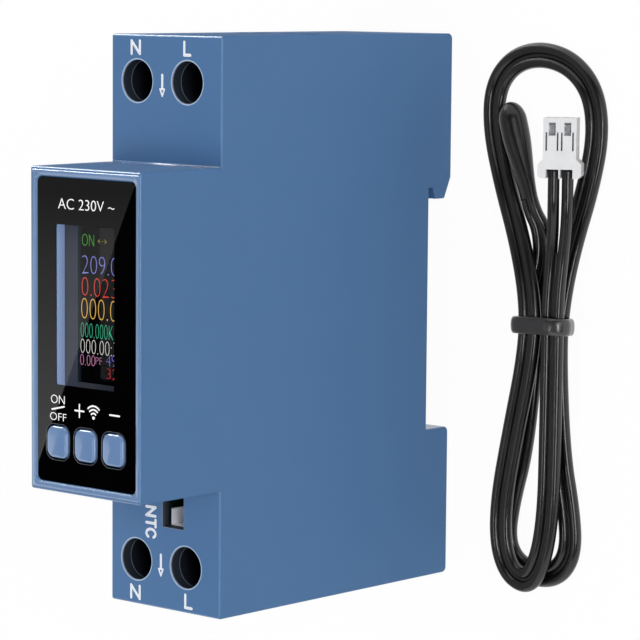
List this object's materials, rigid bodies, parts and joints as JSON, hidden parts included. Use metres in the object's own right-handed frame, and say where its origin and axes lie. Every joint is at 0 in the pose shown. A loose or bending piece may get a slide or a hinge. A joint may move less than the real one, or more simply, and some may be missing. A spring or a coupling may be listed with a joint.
{
  "type": "ac power meter",
  "caption": "Slim single-phase ac power meter for a 35 mm rail, with a narrow display, push buttons, clamp terminals and a plug-in temperature probe on a tied lead.",
  "frame": {"origin": "centre of the case's flat back face", "axes": "+X to the side cover, +Y to the upper terminals, +Z out of the display"},
  "size_m": [0.0508, 0.0813, 0.0657],
  "materials": {
    "case_blue": "moulded with a fine matt texture",
    "panel_clear": "clear acrylic, polished",
    "mask_black": "glossy printed film",
    "display_frame": "moulded",
    "display_black": "polished screen",
    "board_green": "solder mask on glass-fibre laminate",
    "zinc_steel": "zinc plated",
    "cap_blue": "moulded, satin",
    "switch_black": "moulded",
    "switch_metal": "pressed cover",
    "gold_contact": "flash gold plated",
    "relay_black": "moulded",
    "winding_yellow": "wrapped in polyester tape",
    "can_aluminium": "sleeved aluminium can",
    "disc_blue": "epoxy coated",
    "copper": "bright copper",
    "chip_black": "moulded epoxy",
    "shield_steel": "tinned shield",
    "socket_white": "moulded nylon",
    "tin_contact": "tin plated",
    "latch_black": "moulded nylon",
    "spring_steel": "drawn spring wire",
    "cable_black": "soft PVC insulation, satin",
    "tie_rubber": "soft moulded ring",
    "bead_black": "dipped, satin",
    "plug_white": "moulded nylon"
  },
  "bodies": {
    "case": {"housing_tub": "case_blue", "side_cover": "case_blue", "face_panel": "panel_clear", "panel_mask": "mask_black", "display_module": "display_frame", "display_glass": "display_black", "front_board": "board_green", "board_screws": "zinc_steel", "tact_switches": "switch_metal", "main_board": "board_green", "board_header": "switch_black", "header_pins": "gold_contact", "relay": "relay_black", "supply_transformer": "winding_yellow", "supply_capacitors": "can_aluminium", "varistor": "disc_blue", "shunt_strip": "copper", "metering_chips": "chip_black", "wireless_module": "shield_steel", "ntc_socket": "socket_white", "ntc_contacts": "tin_contact", "latch_spring": "spring_steel", "probe_lead_a": "cable_black", "probe_lead_b": "cable_black", "lead_tie": "tie_rubber", "probe_bead": "bead_black", "probe_plug": "plug_white", "plug_contacts": "tin_contact", "busbar_n_top": "copper", "busbar_n_bottom": "copper", "busbar_l_top": "copper", "busbar_l_bottom": "copper"},
    "button_on_off": {"button_on_off": "cap_blue", "switch_plunger_on_off": "switch_black"},
    "button_plus": {"button_plus": "cap_blue", "switch_plunger_plus": "switch_black"},
    "button_minus": {"button_minus": "cap_blue", "switch_plunger_minus": "switch_black"},
    "din_latch": {"din_latch": "latch_black"},
    "screw_n_top": {"terminal_screw_n_top": "zinc_steel"},
    "cage_n_top": {"clamp_cage_n_top": "zinc_steel"},
    "screw_n_bottom": {"terminal_screw_n_bottom": "zinc_steel"},
    "cage_n_bottom": {"clamp_cage_n_bottom": "zinc_steel"},
    "screw_l_top": {"terminal_screw_l_top": "zinc_steel"},
    "cage_l_top": {"clamp_cage_l_top": "zinc_steel"},
    "screw_l_bottom": {"terminal_screw_l_bottom": "zinc_steel"},
    "cage_l_bottom": {"clamp_cage_l_bottom": "zinc_steel"}
  },
  "joints": [
    {"name": "button_on_off_press", "type": "slide", "parent": "case", "child": "button_on_off", "axis": [0, 0, -1], "range_m": [0, 0.0003], "stiffness_N_per_m": 300, "springref_m": -0.003},
    {"name": "button_plus_press", "type": "slide", "parent": "case", "child": "button_plus", "axis": [0, 0, -1], "range_m": [0, 0.0003], "stiffness_N_per_m": 300, "springref_m": -0.003},
    {"name": "button_minus_press", "type": "slide", "parent": "case", "child": "button_minus", "axis": [0, 0, -1], "range_m": [0, 0.0003], "stiffness_N_per_m": 300, "springref_m": -0.003},
    {"name": "latch_slide", "type": "slide", "parent": "case", "child": "din_latch", "axis": [0, -1, 0], "range_m": [0, 0.003], "stiffness_N_per_m": 400, "springref_m": -0.002, "deforming": ["latch_spring"]},
    {"name": "screw_n_top_turn", "type": "hinge", "parent": "case", "child": "screw_n_top", "pos_m": [-0.00565, 0.034, 0.04], "axis": [0, 0, 1], "range_deg": [-2525, 0]},
    {"name": "cage_n_top_lift", "type": "slide", "parent": "case", "child": "cage_n_top", "axis": [0, 0, 1], "range_m": [0, 0.0049]},
    {"name": "screw_n_bottom_turn", "type": "hinge", "parent": "case", "child": "screw_n_bottom", "pos_m": [-0.00565, -0.034, 0.04], "axis": [0, 0, 1], "range_deg": [-2525, 0]},
    {"name": "cage_n_bottom_lift", "type": "slide", "parent": "case", "child": "cage_n_bottom", "axis": [0, 0, 1], "range_m": [0, 0.0049]},
    {"name": "screw_l_top_turn", "type": "hinge", "parent": "case", "child": "screw_l_top", "pos_m": [0.0041, 0.034, 0.04], "axis": [0, 0, 1], "range_deg": [-2525, 0]},
    {"name": "cage_l_top_lift", "type": "slide", "parent": "case", "child": "cage_l_top", "axis": [0, 0, 1], "range_m": [0, 0.0049]},
    {"name": "screw_l_bottom_turn", "type": "hinge", "parent": "case", "child": "screw_l_bottom", "pos_m": [0.0041, -0.034, 0.04], "axis": [0, 0, 1], "range_deg": [-2525, 0]},
    {"name": "cage_l_bottom_lift", "type": "slide", "parent": "case", "child": "cage_l_bottom", "axis": [0, 0, 1], "range_m": [0, 0.0049]}
  ],
  "couplings": [
    {"joint": "screw_n_top_turn", "follows": "cage_n_top_lift", "rad_per_m": -8976},
    {"joint": "screw_n_bottom_turn", "follows": "cage_n_bottom_lift", "rad_per_m": -8976},
    {"joint": "screw_l_top_turn", "follows": "cage_l_top_lift", "rad_per_m": -8976},
    {"joint": "screw_l_bottom_turn", "follows": "cage_l_bottom_lift", "rad_per_m": -8976}
  ]
}
